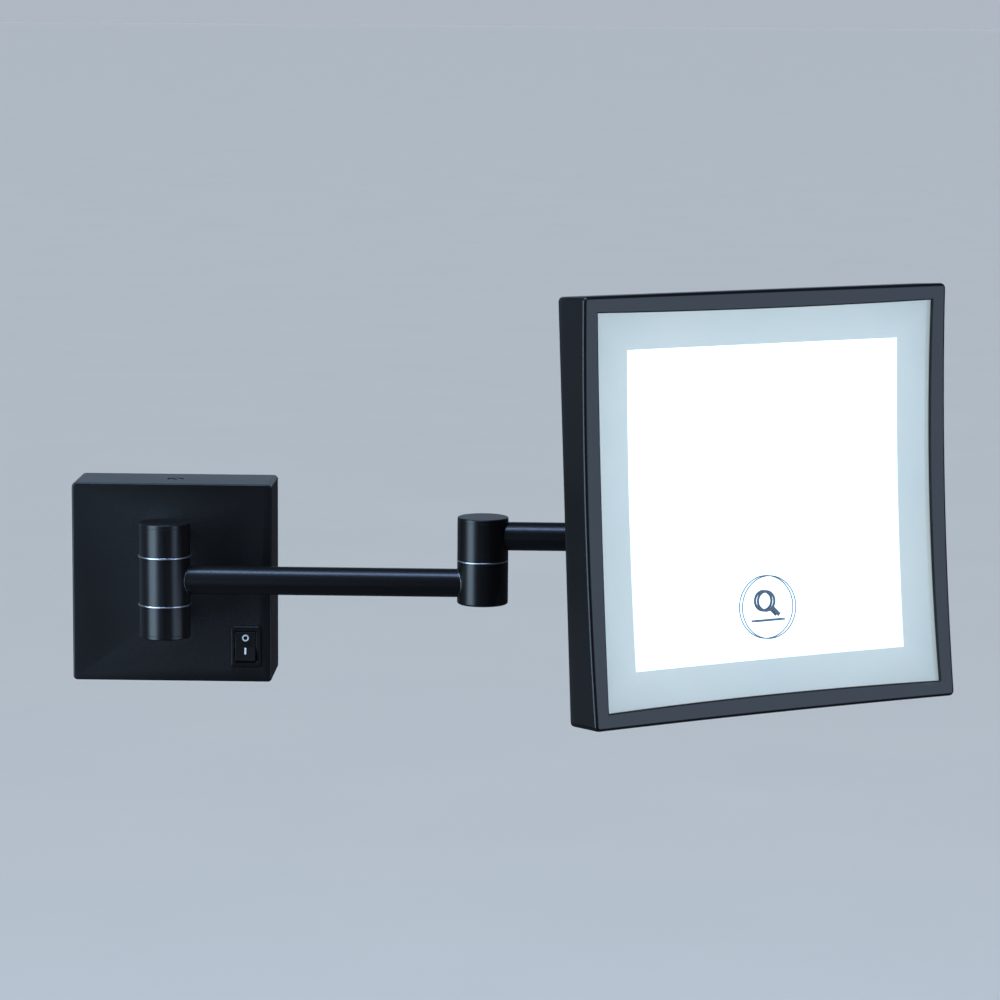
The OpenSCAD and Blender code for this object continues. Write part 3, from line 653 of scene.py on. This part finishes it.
# Knuckle and stand-off, above and below the lower arm's hub
lo, hi = span("upper_wall_post", WALL)
knuckle_0, knuckle_1 = lo.z, hi.z
reach = -WALL.translation.y / MM - depth


def wall_post():
    knuckle = lathe(
        rounded(
            [
                (PIVOT_R, knuckle_0, 0),
                (BARREL_R, knuckle_0, 0.2),
                (BARREL_R, knuckle_1, 0.12),
                (CAVITY_R, knuckle_1, 0),
                (CAVITY_R, knuckle_0 + 4, 0),
                (PIVOT_R, knuckle_0 + 4, 0),
            ]
        ),
        128,
    )
    rod = lathe(
        rounded(
            [
                (0, 9.5, 0),
                (POST_R, 9.5, 0),
                (POST_R, reach - 0.02, 0.3),
                (SPIGOT_R, reach - 0.02, 0),
                (SPIGOT_R, reach + 9.3, 0.4),
                (0, reach + 9.3, 0),
            ]
        ),
        64,
    )
    rod = turned(rod, Matrix.Translation((0, 0, POST_Z)) @ TO_WALL)
    return combined(knuckle, [rod], "UNION")


post = wall_post()
add("wall_post_top", post, WALL, stands_for=["upper_wall_post"])
under = Matrix.Rotation(math.pi, 4, "Y")
add("wall_post_bottom", turned(post, under), WALL, stands_for=["lower_wall_post"])


def both(shape):
    """A shape and its twin turned over about the Y axis."""
    verts, faces = shape
    n = len(verts)
    twin, _ = turned(shape, under)
    return [*verts, *twin], [*faces, *[tuple(i + n for i in f) for f in faces]]


def cap(r, z0, z1, inner, radius=0.6):
    """A closing disc with a fine joint line, and a spigot below it."""
    return lathe(
        rounded(
            [
                (0, z0 - 0.9, 0),
                (inner, z0 - 0.9, 0.2),
                (inner, z0, 0),
                (r, z0, 0.12),
                (r, z1, radius),
                (0, z1, 0),
            ]
        ),
        128,
    )


def bright_band(r, z0, z1, inner=4.3):
    return lathe(
        rounded([(inner, z0, 0), (r, z0, 0.22), (r, z1, 0.22), (inner, z1, 0)], 6), 128
    )


lo, hi = span("wall_barrel_caps", WALL)
add(
    "wall_caps",
    both(cap(BARREL_R, knuckle_1, hi.z, CAVITY_R - 0.05)),
    WALL,
    stands_for=["wall_barrel_caps"],
)
lo, hi = span("wall_hinge_rings", WALL)
add(
    "wall_bright_rings",
    both(bright_band(hi.y, hi.z - 0.7, hi.z)),
    WALL,
    stands_for=["wall_hinge_rings"],
)

# ---------- switch ----------

lo, hi = span("switch_housing", SWITCH)
rim_w, rim_h, rim_t, body_d = hi.x, hi.z, -lo.y, hi.y
well_w, well_h, well_edge = 5.35, 7.75, 0.45
rim_edge, rim_corner = 0.9, 1.6


def frame_loop(w, h, corner, y):
    return at_depth(square_loop(w, h, corner), y)


loops = [
    frame_loop(well_w, well_h, 0.5, body_d - 2.5),
    frame_loop(well_w, well_h, 0.5, -rim_t + well_edge),
]
for k in range(1, 6):
    a = math.radians(18 * k)
    grow = well_edge * (1 - math.cos(a))
    loops.append(
        frame_loop(
            well_w + grow,
            well_h + grow,
            0.5 + grow,
            -rim_t + well_edge * (1 - math.sin(a)),
        )
    )
for k in range(7):
    a = math.radians(90 - 15 * k)
    drop = rim_edge * (1 - math.cos(a))
    loops.append(
        frame_loop(
            rim_w - drop,
            rim_h - drop,
            rim_corner - drop * 0.9,
            -rim_t + rim_edge * (1 - math.sin(a)),
        )
    )
loops += [
    frame_loop(rim_w, rim_h, rim_corner, -0.02),
    frame_loop(6.5, 9.6, 0.5, -0.02),
    frame_loop(6.5, 9.6, 0.5, body_d - 0.3),
    frame_loop(6.2, 9.3, 0.4, body_d),
]
add("switch_frame", stack(loops), SWITCH, stands_for=["switch_housing"])

rocker_w, key_r, key_half, key_edge = 5.1, 7.55, 7.1, 0.45
face_end, face_mid = -2.6, -1.6
corners = [(face_mid, 0, 3.0), (face_end, key_half, 0.5)]
side_points = []
start = math.atan2(key_half, face_end)
for k in range(1, 11):
    a = start + (math.radians(62) - start) * k / 10
    side_points.append((key_r * math.cos(a), key_r * math.sin(a), 0))
side_points = [p for p in side_points if p[1] > 0]
outline = rounded(
    [
        *corners,
        *side_points,
        *[(y, -z, 0) for y, z, _ in reversed(side_points)],
        (face_end, -key_half, 0.5),
    ],
    6,
)
middle = Vector((1.0, 0.0))
loops = []
for side, order in ((-1, range(5)), (1, reversed(range(5)))):
    for k in order:
        a = math.radians(22.5 * k)
        inset = key_edge * (1 - math.sin(a))
        x = side * (rocker_w - key_edge * (1 - math.cos(a)))
        loop = []
        for p in outline:
            q = middle + (p - middle) * (1 - inset / (p - middle).length)
            loop.append((x, q.x, q.y))
        loops.append(loop)
key = stack(loops)
pin = turned(
    lathe(
        rounded([(0, -6.2, 0), (1.2, -6.2, 0.15), (1.2, 6.2, 0.15), (0, 6.2, 0)]), 32
    ),
    ALONG_X,
)
add("switch_key", combined(key, [pin], "UNION"), ROCKER, stands_for=["switch_rocker"])

# ---------- arms ----------


def tube(node, at, height, name):
    """A hollow tube along X of a place, with its ends inside the barrels."""
    line = at @ Matrix.Translation((0, 0, height * MM))
    lo, hi = span(node, line)
    shape = pipe(hi.y, hi.y - 1.2, lo.x, hi.x, 0.2, 96)
    add(name, turned(shape, ALONG_X), line, stands_for=[node])
    return hi.y


def saddle(name, at, tube_r, height, body, side=1, bead=0.10):
    """The thin bead where a tube enters a barrel, on the side +X or -X of the barrel."""
    steps, ring_sides = 96, 8
    verts, faces = [], []
    path = []
    r = tube_r + bead * 0.35
    for k in range(steps):
        a = 2 * math.pi * k / steps
        y, z = r * math.cos(a), r * math.sin(a)
        path.append(Vector((side * math.sqrt(BARREL_R**2 - y * y), y, z + height)))
    for k, p in enumerate(path):
        along = (path[(k + 1) % steps] - path[k - 1]).normalized()
        out = Vector((0, p.y, p.z - height)).normalized()
        out = (out - along * out.dot(along)).normalized()
        across = along.cross(out)
        for j in range(ring_sides):
            b = 2 * math.pi * j / ring_sides
            verts.append(p + bead * (math.cos(b) * out + math.sin(b) * across))
        for j in range(ring_sides):
            m = (j + 1) % ring_sides
            n = (k + 1) % steps
            faces.append(
                (
                    k * ring_sides + j,
                    k * ring_sides + m,
                    n * ring_sides + m,
                    n * ring_sides + j,
                )
            )
    add(name, (verts, faces), at, body=body, slot="pin_steel", sharp=180)


def knuckle_low(node, at, name):
    """The lower half of a two-part barrel."""
    lo, hi = span(node, at)
    add(
        name,
        lathe(
            rounded(
                [
                    (0, lo.z, 0),
                    (hi.y, lo.z, 1.0),
                    (hi.y, hi.z, 0.18),
                    (CAVITY_R, hi.z, 0),
                    (CAVITY_R, lo.z + 2.5, 0.5),
                    (0, lo.z + 2.5, 0),
                ]
            ),
            128,
        ),
        at,
        stands_for=[node],
    )


def knuckle_high(node, at, name):
    """The upper half of a two-part barrel, open at the top for its cap."""
    lo, hi = span(node, at)
    add(
        name,
        lathe(
            rounded(
                [
                    (PIN_WAY_R, lo.z, 0),
                    (BARREL_R, lo.z, 0.18),
                    (BARREL_R, hi.z, 0.12),
                    (CAVITY_R, hi.z, 0),
                    (CAVITY_R, 7, 0.4),
                    (PIN_WAY_R, 7, 0),
                ]
            ),
            128,
        ),
        at,
        stands_for=[node],
    )


def top_cap(node, at, name):
    lo, hi = span(node, at)
    add(name, cap(BARREL_R, hi.z - 2, hi.z, CAVITY_R - 0.05), at, stands_for=[node])


def bright_ring(node, at, name, proud=0.12):
    lo, hi = span(node, at)
    add(name, bright_band(BARREL_R + proud, lo.z, hi.z), at, stands_for=[node])


lo, hi = span("lower_arm_hub", WALL)
hub = pipe(BARREL_R, CAVITY_R, lo.z, hi.z, 0.18, 128)
add("hub_barrel", hub, WALL, stands_for=["lower_arm_hub"])
r = tube("lower_arm_tube", WALL, 0, "long_arm_tube")
saddle("hub_saddle", WALL, r, 0, "lower_arm")
below = (WALL.translation.z - ELBOW.translation.z) / MM
saddle("elbow_low_saddle", ELBOW, r, below, "lower_arm", -1)
knuckle_low("elbow_lower_knuckle", ELBOW, "elbow_cup")
bright_ring("elbow_ring", ELBOW, "elbow_bright_ring")
knuckle_high("elbow_upper_knuckle", ELBOW, "elbow_head")
top_cap("elbow_cap", ELBOW, "elbow_lid")

height = centre("upper_arm_tube").z / MM - ELBOW.translation.z / MM
tube("upper_arm_tube", ELBOW, height, "short_arm_tube")
knuckle_low("swivel_lower_knuckle", SWIVEL, "swivel_cup")
bright_ring("swivel_ring", SWIVEL, "swivel_bright_ring")
knuckle_high("swivel_upper_knuckle", NECK, "swivel_head")
top_cap("swivel_cap", NECK, "swivel_lid")
height = (PIVOT.z - SWIVEL.translation.z) / MM
tube("neck_tube", NECK, height, "neck_pipe")

# ---------- tilt joint ----------

lo, hi = span("tilt_hub", TILT)
add(
    "tilt_barrel",
    turned(
        lathe(
            rounded(
                [
                    (3.05, lo.x, 0),
                    (TILT_R, lo.x, 0.25),
                    (TILT_R, hi.x, 0.25),
                    (3.05, hi.x, 0),
                ]
            ),
            96,
        ),
        ALONG_X,
    ),
    TILT,
    stands_for=["tilt_hub"],
)
lo, hi = span("tilt_rings", HEAD)
add(
    "tilt_bright_rings",
    turned(both(bright_band(TILT_R + 0.2, hi.x - 0.7, hi.x, 3.3)), ALONG_X),
    HEAD,
    stands_for=["tilt_rings"],
)
lo, hi = span("tilt_caps", HEAD)
add(
    "tilt_end_caps",
    turned(both(cap(TILT_R, hi.x - 1.5, hi.x, 6.1, 0.5)), ALONG_X),
    HEAD,
    stands_for=["tilt_caps"],
)

# ---------- head ----------

lo, hi = span("bezel_shell", HEAD)
side, back_y = hi.x, hi.y
sphere_y = back_y - HEAD_DEPTH - math.sqrt(MIRROR_R**2 - 2 * side**2)
SIDES, TURNS = 28, 6


def curved(loop, r):
    """(x, z) points laid on a sphere about the mirror's centre of curvature."""
    return [
        (p.x, sphere_y + math.sqrt(r * r - p.x * p.x - p.y * p.y), p.y) for p in loop
    ]


def head_loop(h, corner, bow=0.0):
    return square_loop(h, h, corner, SIDES, TURNS, bow)


def shifted(points, dy):
    return [(x, y + dy, z) for x, y, z in points]


fillet = 1.9
loops = [at_depth(head_loop(side - SHELL_T, 1.0), back_y - 0.25)]
loops += [
    at_depth(head_loop(side - SHELL_T + 0.25, 1.2), back_y),
    at_depth(head_loop(side - 0.3, 2.2), back_y),
    at_depth(head_loop(side, 2.5), back_y - 0.3),
]
for k in range(4):
    flat = at_depth(head_loop(side, 2.5), back_y - 0.3)
    front = shifted(curved(head_loop(side, 2.5), MIRROR_R), fillet)
    t = (k + 1) / 5
    loops.append([tuple(Vector(a).lerp(Vector(b), t)) for a, b in zip(flat, front)])
for k in range(9):
    a = math.radians(90 * k / 8)
    inset = fillet * (1 - math.cos(a))
    loops.append(
        shifted(
            curved(head_loop(side - inset, 2.5 - inset), MIRROR_R),
            fillet * (1 - math.sin(a)),
        )
    )
outer = head_loop(side - fillet, 2.5 - fillet)
inner = head_loop(OPENING_HALF + 0.3, 0.35, 1.0)
for k in (0.33, 0.67, 1.0):
    loops.append(curved([a.lerp(b, k) for a, b in zip(outer, inner)], MIRROR_R))
for k in range(1, 5):
    a = math.radians(22.5 * k)
    loops.append(
        shifted(
            curved(head_loop(OPENING_HALF + 0.3 * (1 - math.sin(a)), 0.3, 1.0), MIRROR_R),
            0.3 * (1 - math.cos(a)),
        )
    )
lip = head_loop(OPENING_HALF, 0.3, 1.0)
loops.append(curved(lip, MIRROR_R + BEZEL_T))
wall = head_loop(side - SHELL_T, 1.0)
loops.append(curved([a.lerp(b, 0.5) for a, b in zip(lip, wall)], MIRROR_R + BEZEL_T))
loops.append(curved(wall, MIRROR_R + BEZEL_T))
add("bezel_and_sides", stack(loops, ends=False), HEAD, stands_for=["bezel_shell"], sharp=50)

# The flat rear panel, with its countersunk corner screws and its clearance holes
half = side - SHELL_T - 0.2
PANEL_T, SCREW_R = 1.5, 2.1
# How far each loop is set in, its depth and its corner radius, from the inside out
levels = [(0.7, PANEL_T, 0.5), (0, PANEL_T, 1), (0, 0.25, 1)]
levels += [(0.08, 0.08, 0.95), (0.25, 0, 0.8), (1.2, 0, 0.4)]
panel = stack(
    [at_depth(square_loop(half - i, half - i, c), back_y - y) for i, y, c in levels]
)
end = 2 * PANEL_T
sink = lathe(
    [(0, -0.1), (3.9, -0.1), (3.8, 0), (SCREW_R, 1.4), (SCREW_R, end), (0, end)], 48
)
hole = lathe([(0, -1), (SCREW_R, -1), (SCREW_R, end), (0, end)], 32)
lead_way = lathe([(0, -1), (2.2, -1), (2.2, end), (0, end)], 32)
INWARDS = Matrix.Rotation(math.radians(90), 4, "X")
lug = side - SHELL_T - 7.25
cuts = []
for x in (-1, 1):
    for z in (-1, 1):
        for shape, at_x, at_z in ((sink, lug, lug), (hole, 18, 14.5)):
            move = Matrix.Translation((x * at_x, back_y, z * at_z))
            cuts.append(turned(shape, move @ INWARDS))
cuts.append(turned(lead_way, Matrix.Translation((15.4, back_y, 0)) @ INWARDS))
add("rear_panel", combined(panel, cuts), HEAD, stands_for=["rear_cover"], broad=400)


def curved_slab(h, r_front, r_back, steps=40):
    """A square slab between two spheres."""
    grid = [-h + 2 * h * k / steps for k in range(steps + 1)]
    verts, faces = [], []
    n = steps + 1
    for r in (r_front, r_back):
        for z in grid:
            for x in grid:
                verts.append((x, sphere_y + math.sqrt(r * r - x * x - z * z), z))
    for j in range(steps):
        for i in range(steps):
            a = j * n + i
            for b in (a, a + n * n):
                faces.append((b, b + 1, b + n + 1, b + n))
    rim = list(range(n)) + [j * n + n - 1 for j in range(1, n)]
    rim += [(n - 1) * n + i for i in range(n - 2, -1, -1)]
    rim += [j * n for j in range(n - 2, 0, -1)]
    for k, a in enumerate(rim):
        b = rim[(k + 1) % len(rim)]
        faces.append((a, b, b + n * n, a + n * n))
    return verts, faces


def curved_frame(outer_h, inner_h, r_front, r_back, steps=28):
    """A square frame between two spheres, with the loops close enough to follow them."""
    loops = []
    o = square_loop(outer_h, outer_h, 0.3, steps, 3)
    i = square_loop(inner_h, inner_h, 0.3, steps, 3)
    for k in range(6):
        loops.append(curved([a.lerp(b, k / 5) for a, b in zip(o, i)], r_front))
    for k in range(5, -1, -1):
        loops.append(curved([a.lerp(b, k / 5) for a, b in zip(o, i)], r_back))
    return stack(loops, ends=False)


# The seal: flat on the glass, with a lip that edges the opening
seal_back, seal_front = GASKET_T + BEZEL_T - 0.02, BEZEL_T + 0.02
seal = [(-0.32, seal_back), (-0.32, 0.35), (-0.27, 0.24), (-0.17, 0.21), (-0.02, 0.24)]
seal += [(-0.02, seal_front), (5.0, seal_front), (5.0, seal_back)]
loops = [
    curved(head_loop(OPENING_HALF + out, 0.3, 1.0), MIRROR_R + drop) for out, drop in seal
]
add("opening_seal", stack(loops, ends=False), HEAD, stands_for=["glass_gasket"])

glass_front = MIRROR_R + BEZEL_T + GASKET_T
glass_back = glass_front + GLASS_T
add(
    "front_glass",
    curved_slab(GLASS_HALF, glass_front, glass_back - 0.05),
    HEAD,
    stands_for=["mirror_glass"],
)
silver_back = glass_back + SILVER_T
patch = curved_slab(PATCH_HALF, glass_back, silver_back)
border = curved_frame(GLASS_HALF, BAND_HALF, glass_back, silver_back)
count = len(patch[0])
add(
    "mirror_layer",
    (
        [*patch[0], *border[0]],
        [*patch[1], *[tuple(i + count for i in f) for f in border[1]]],
    ),
    HEAD,
    stands_for=["mirror_silvering"],
    sharp=60,
)
add(
    "lit_band",
    curved_frame(BAND_HALF - 0.02, PATCH_HALF + 0.02, glass_back, silver_back),
    HEAD,
    stands_for=["frosted_band"],
    sharp=60,
)

# ---------- CAD nodes that stay ----------

BEVELS = {
    "wall_bracket": 0.3,
    "cover_set_screws": 0.12,
    "cable_grommet": 0.4,
    "tilt_bracket": 0.45,
    "bracket_screws": 0.12,
    "rear_cover_screws": 0.12,
    "terminal_block": 0.4,
    "led_driver": 0.8,
    "post_nuts": 0.3,
    "switch_terminals": 0.15,
}
for name, node in NODES.items():
    if node.get("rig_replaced") or node.hide_render:
        continue
    node.data.materials.clear()
    node.data.materials.append(MATERIALS[SLOT_OF[name]])
    if name in BEVELS:
        weld = node.modifiers.new("weld", "WELD")
        weld.merge_threshold = 1e-6
        flat = node.modifiers.new("flat", "DECIMATE")
        flat.decimate_type = "DISSOLVE"
        flat.angle_limit = math.radians(0.6)
        bevel = node.modifiers.new("bevel", "BEVEL")
        bevel.width = BEVELS[name] * MM
        bevel.segments = 3
        bevel.limit_method = "ANGLE"
        bevel.angle_limit = math.radians(28)
        shade = node.modifiers.new("shade", "WEIGHTED_NORMAL")
        shade.keep_sharp = False

# ---------- studio ----------


def flat_sheet(name, reach, z):
    mesh = bpy.data.meshes.new(name)
    corners = [(-1, -1), (1, -1), (1, 1), (-1, 1)]
    mesh.from_pydata([(x * reach, y * reach, z) for x, y in corners], [], [(0, 1, 2, 3)])
    sheet = bpy.data.objects.new(name, mesh)
    bpy.context.scene.collection.objects.link(sheet)
    return sheet


floor = flat_sheet("floor", 120.0, -0.9)
f = Finish("floor", Specular_IOR_Level=0.2, Roughness=0.85)
f.set("Base Color", f.mix(f.noise(3, 3), (0.74, 0.76, 0.79), (0.78, 0.80, 0.82)))
floor.data.materials.append(f.material)

world = bpy.data.worlds.new("studio")
bpy.context.scene.world = world
world.use_nodes = True
sky = world.node_tree.nodes["Background"]


def seen(tree):
    """1 for a ray from the camera, or from the mirror behind its glass, and 0 for light."""
    path = tree.nodes.new("ShaderNodeLightPath").outputs
    either = tree.nodes.new("ShaderNodeMath")
    either.operation, either.use_clamp = "ADD", True
    tree.links.new(path["Is Camera Ray"], either.inputs[0])
    tree.links.new(path["Transmission Depth"], either.inputs[1])
    return either.outputs[0]


tone = world.node_tree.nodes.new("ShaderNodeMix")
tone.data_type = "RGBA"
world.node_tree.links.new(seen(world.node_tree), tone.inputs["Factor"])
tone.inputs[6].default_value = (0.042, 0.050, 0.066, 1)
tone.inputs[7].default_value = (0.432, 0.477, 0.542, 1)
world.node_tree.links.new(tone.outputs[2], sky.inputs["Color"])


def aimed(name, lamp, at, target):
    """A lamp that the camera doesn't see, pointing from at to target."""
    o = bpy.data.objects.new(name, lamp)
    way = Vector(target) - Vector(at)
    turn = way.to_track_quat("-Z", "Y").to_matrix().to_4x4()
    o.matrix_world = Matrix.Translation(at) @ turn
    o.visible_camera = False
    bpy.context.scene.collection.objects.link(o)
    return o


def softbox(name, at, target, width, height, radiance, colour=(0.58, 0.79, 1.0)):
    """A rectangular lamp of a given brightness, facing target."""
    lamp = bpy.data.lights.new(name, "AREA")
    lamp.shape, lamp.size, lamp.size_y = "RECTANGLE", width, height
    lamp.energy = radiance * math.pi * width * height
    lamp.color = colour
    aimed(name, lamp, at, target)


def soft_sun(name, at, target, energy, angle):
    """Wide, even light that makes no highlights."""
    lamp = bpy.data.lights.new(name, "SUN")
    lamp.energy, lamp.angle, lamp.color = energy, math.radians(angle), (0.84, 0.92, 1.0)
    aimed(name, lamp, at, target).visible_glossy = False


BOX_AT, MIDDLE, HEAD_AT = (0.0, -0.07, 0.0), (0.15, -0.07, 0.0), (0.29, -0.13, 0.05)
BLUE = (0.50, 0.66, 1.0)
softbox("right_softbox", (1.45, -0.78, 0.05), HEAD_AT, 1.2, 1.2, 2.2, (0.58, 0.74, 1.0))
softbox("left_softbox", (-0.54, -0.51, 0.12), BOX_AT, 0.45, 0.9, 5.0)
softbox("front_softbox", (-0.29, -0.48, -0.02), BOX_AT, 0.2, 0.55, 1.3, BLUE)
softbox("side_softbox", (-1.45, 0.95, 0.0), (0.25, -0.13, 0.05), 1.5, 1.3, 0.16)
softbox("back_softbox", (0.15, 1.9, 0.45), MIDDLE, 2.4, 0.9, 0.36)
softbox("top_softbox", (-0.05, -0.34, 1.3), MIDDLE, 1.2, 0.22, 15.0, (0.40, 0.60, 1.0))
soft_sun("ceiling_light", (-0.25, -0.65, 2.6), MIDDLE, 2.1, 20)
soft_sun("back_light", (0.15, 2.0, 0.0), MIDDLE, 7.0, 8)

# A dark cloth below the object, out of the camera's sight, keeps its underside dark
cloth = flat_sheet("dark_cloth", 110.0, -0.7)
f = Finish("dark_cloth", Specular_IOR_Level=0.1)
f.set("Base Color", f.mix(f.noise(400, 3), (0.05, 0.05, 0.055), (0.07, 0.07, 0.075)))
f.set("Roughness", f.spread(f.noise(900, 2), 0.8, 0.95))
clear = f.node("ShaderNodeBsdfTransparent").outputs[0]
layer = f.node("ShaderNodeMixShader", {0: seen(f.tree), 1: f.shader.outputs[0], 2: clear})
f.tree.links.new(layer.outputs[0], f.tree.nodes["Material Output"].inputs["Surface"])
cloth.data.materials.append(f.material)
cloth.visible_camera = False
cloth.visible_shadow = False

bpy.context.scene.view_settings.view_transform = "Standard"
